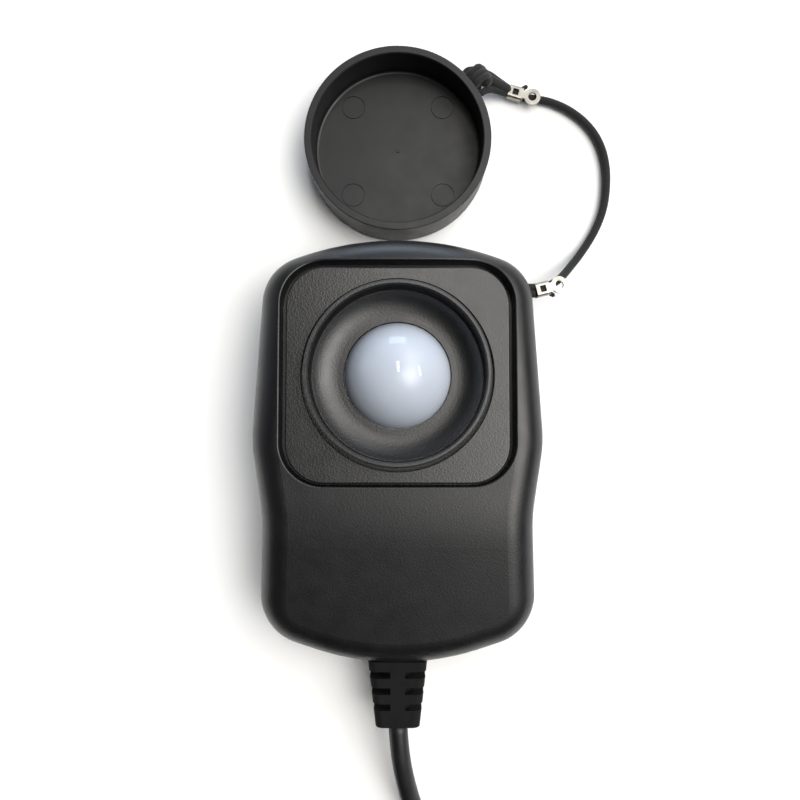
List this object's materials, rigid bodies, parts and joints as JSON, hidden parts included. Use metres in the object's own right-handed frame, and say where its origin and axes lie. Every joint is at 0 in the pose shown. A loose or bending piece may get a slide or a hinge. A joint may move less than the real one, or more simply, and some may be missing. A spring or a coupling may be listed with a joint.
{
  "type": "light meter",
  "caption": "Detector head of a handheld light meter: black case with an opal dome, a tethered round cap lying beside it, and a coiled cable with a jack plug.",
  "frame": {"origin": "on the flat back of the case, under the axis of the opal dome", "axes": "+Z where the sensor looks, +Y along the case away from the cable, +X the side the cap's tether hangs on"},
  "size_m": [0.0966, 0.242, 0.0276],
  "materials": {
    "case_plastic": "fine leather grain, satin",
    "plate_plastic": "fine texture, satin",
    "dish_finish": "fine leather grain, satin",
    "opal_plastic": "opal white, polished",
    "seal_rubber": "matte",
    "filter_glass": "green optical filter",
    "holder_plastic": "matte",
    "screw_steel": "zinc plated",
    "board_laminate": "solder resist",
    "ceramic": "fired ceramic",
    "silicon": "polished die",
    "window_glass": "clear",
    "tinned_metal": "tinned",
    "trimmer_blue": "moulded",
    "trimmer_brass": "turned",
    "resistor_black": "coated",
    "capacitor_tan": "fired ceramic",
    "boot_rubber": "matte",
    "cable_jacket": "satin jacket",
    "clamp_plastic": "matte",
    "wire_red": "insulation",
    "wire_black": "insulation",
    "shield_copper": "bare copper",
    "strap_fabric": "woven strap",
    "plug_plastic": "moulded grip",
    "plug_nickel": "nickel plated",
    "insulator_black": "moulded",
    "cap_plastic": "smooth inside, satin",
    "crimp_nickel": "nickel plated",
    "braid": "braided cord"
  },
  "bodies": {
    "housing": {"front_shell": "case_plastic", "rear_shell": "case_plastic", "bezel_plate": "plate_plastic", "dish_insert": "dish_finish", "diffuser_dome": "opal_plastic", "dome_gasket": "seal_rubber", "colour_filter": "filter_glass", "filter_holder": "holder_plastic", "case_screws": "screw_steel", "bezel_screws": "screw_steel", "holder_screws": "screw_steel", "board_screws": "screw_steel", "clamp_screws": "screw_steel", "circuit_board": "board_laminate", "photodiode_package": "ceramic", "photodiode_chip": "silicon", "photodiode_window": "window_glass", "photodiode_leads": "tinned_metal", "calibration_trimmer": "trimmer_blue", "trimmer_dial": "trimmer_brass", "load_resistors": "resistor_black", "filter_capacitors": "capacitor_tan", "strain_relief": "boot_rubber", "plug_boot": "boot_rubber", "cable_entry": "cable_jacket", "cable_lead": "cable_jacket", "cable_coil": "cable_jacket", "cable_tail": "cable_jacket", "cable_clamp": "clamp_plastic", "signal_wire": "wire_red", "ground_wire": "wire_black", "shield_tail": "shield_copper", "coil_tie": "strap_fabric", "plug_handle": "plug_plastic", "plug_sleeve": "plug_nickel", "plug_tip": "plug_nickel", "plug_insulator": "insulator_black", "tether_crimp_case": "crimp_nickel", "tether_cord": "braid", "tether_knot": "braid"},
    "cap": {"cap": "cap_plastic", "tether_crimp_cap": "crimp_nickel", "tether_loop": "braid"}
  },
  "joints": [
    {"name": "cap_swing", "type": "hinge", "parent": "housing", "child": "cap", "pos_m": [0, 0.02633, 0.0154], "axis": [1, 0, 0], "range_deg": [0, 180], "deforming": ["tether_cord"]}
  ]
}
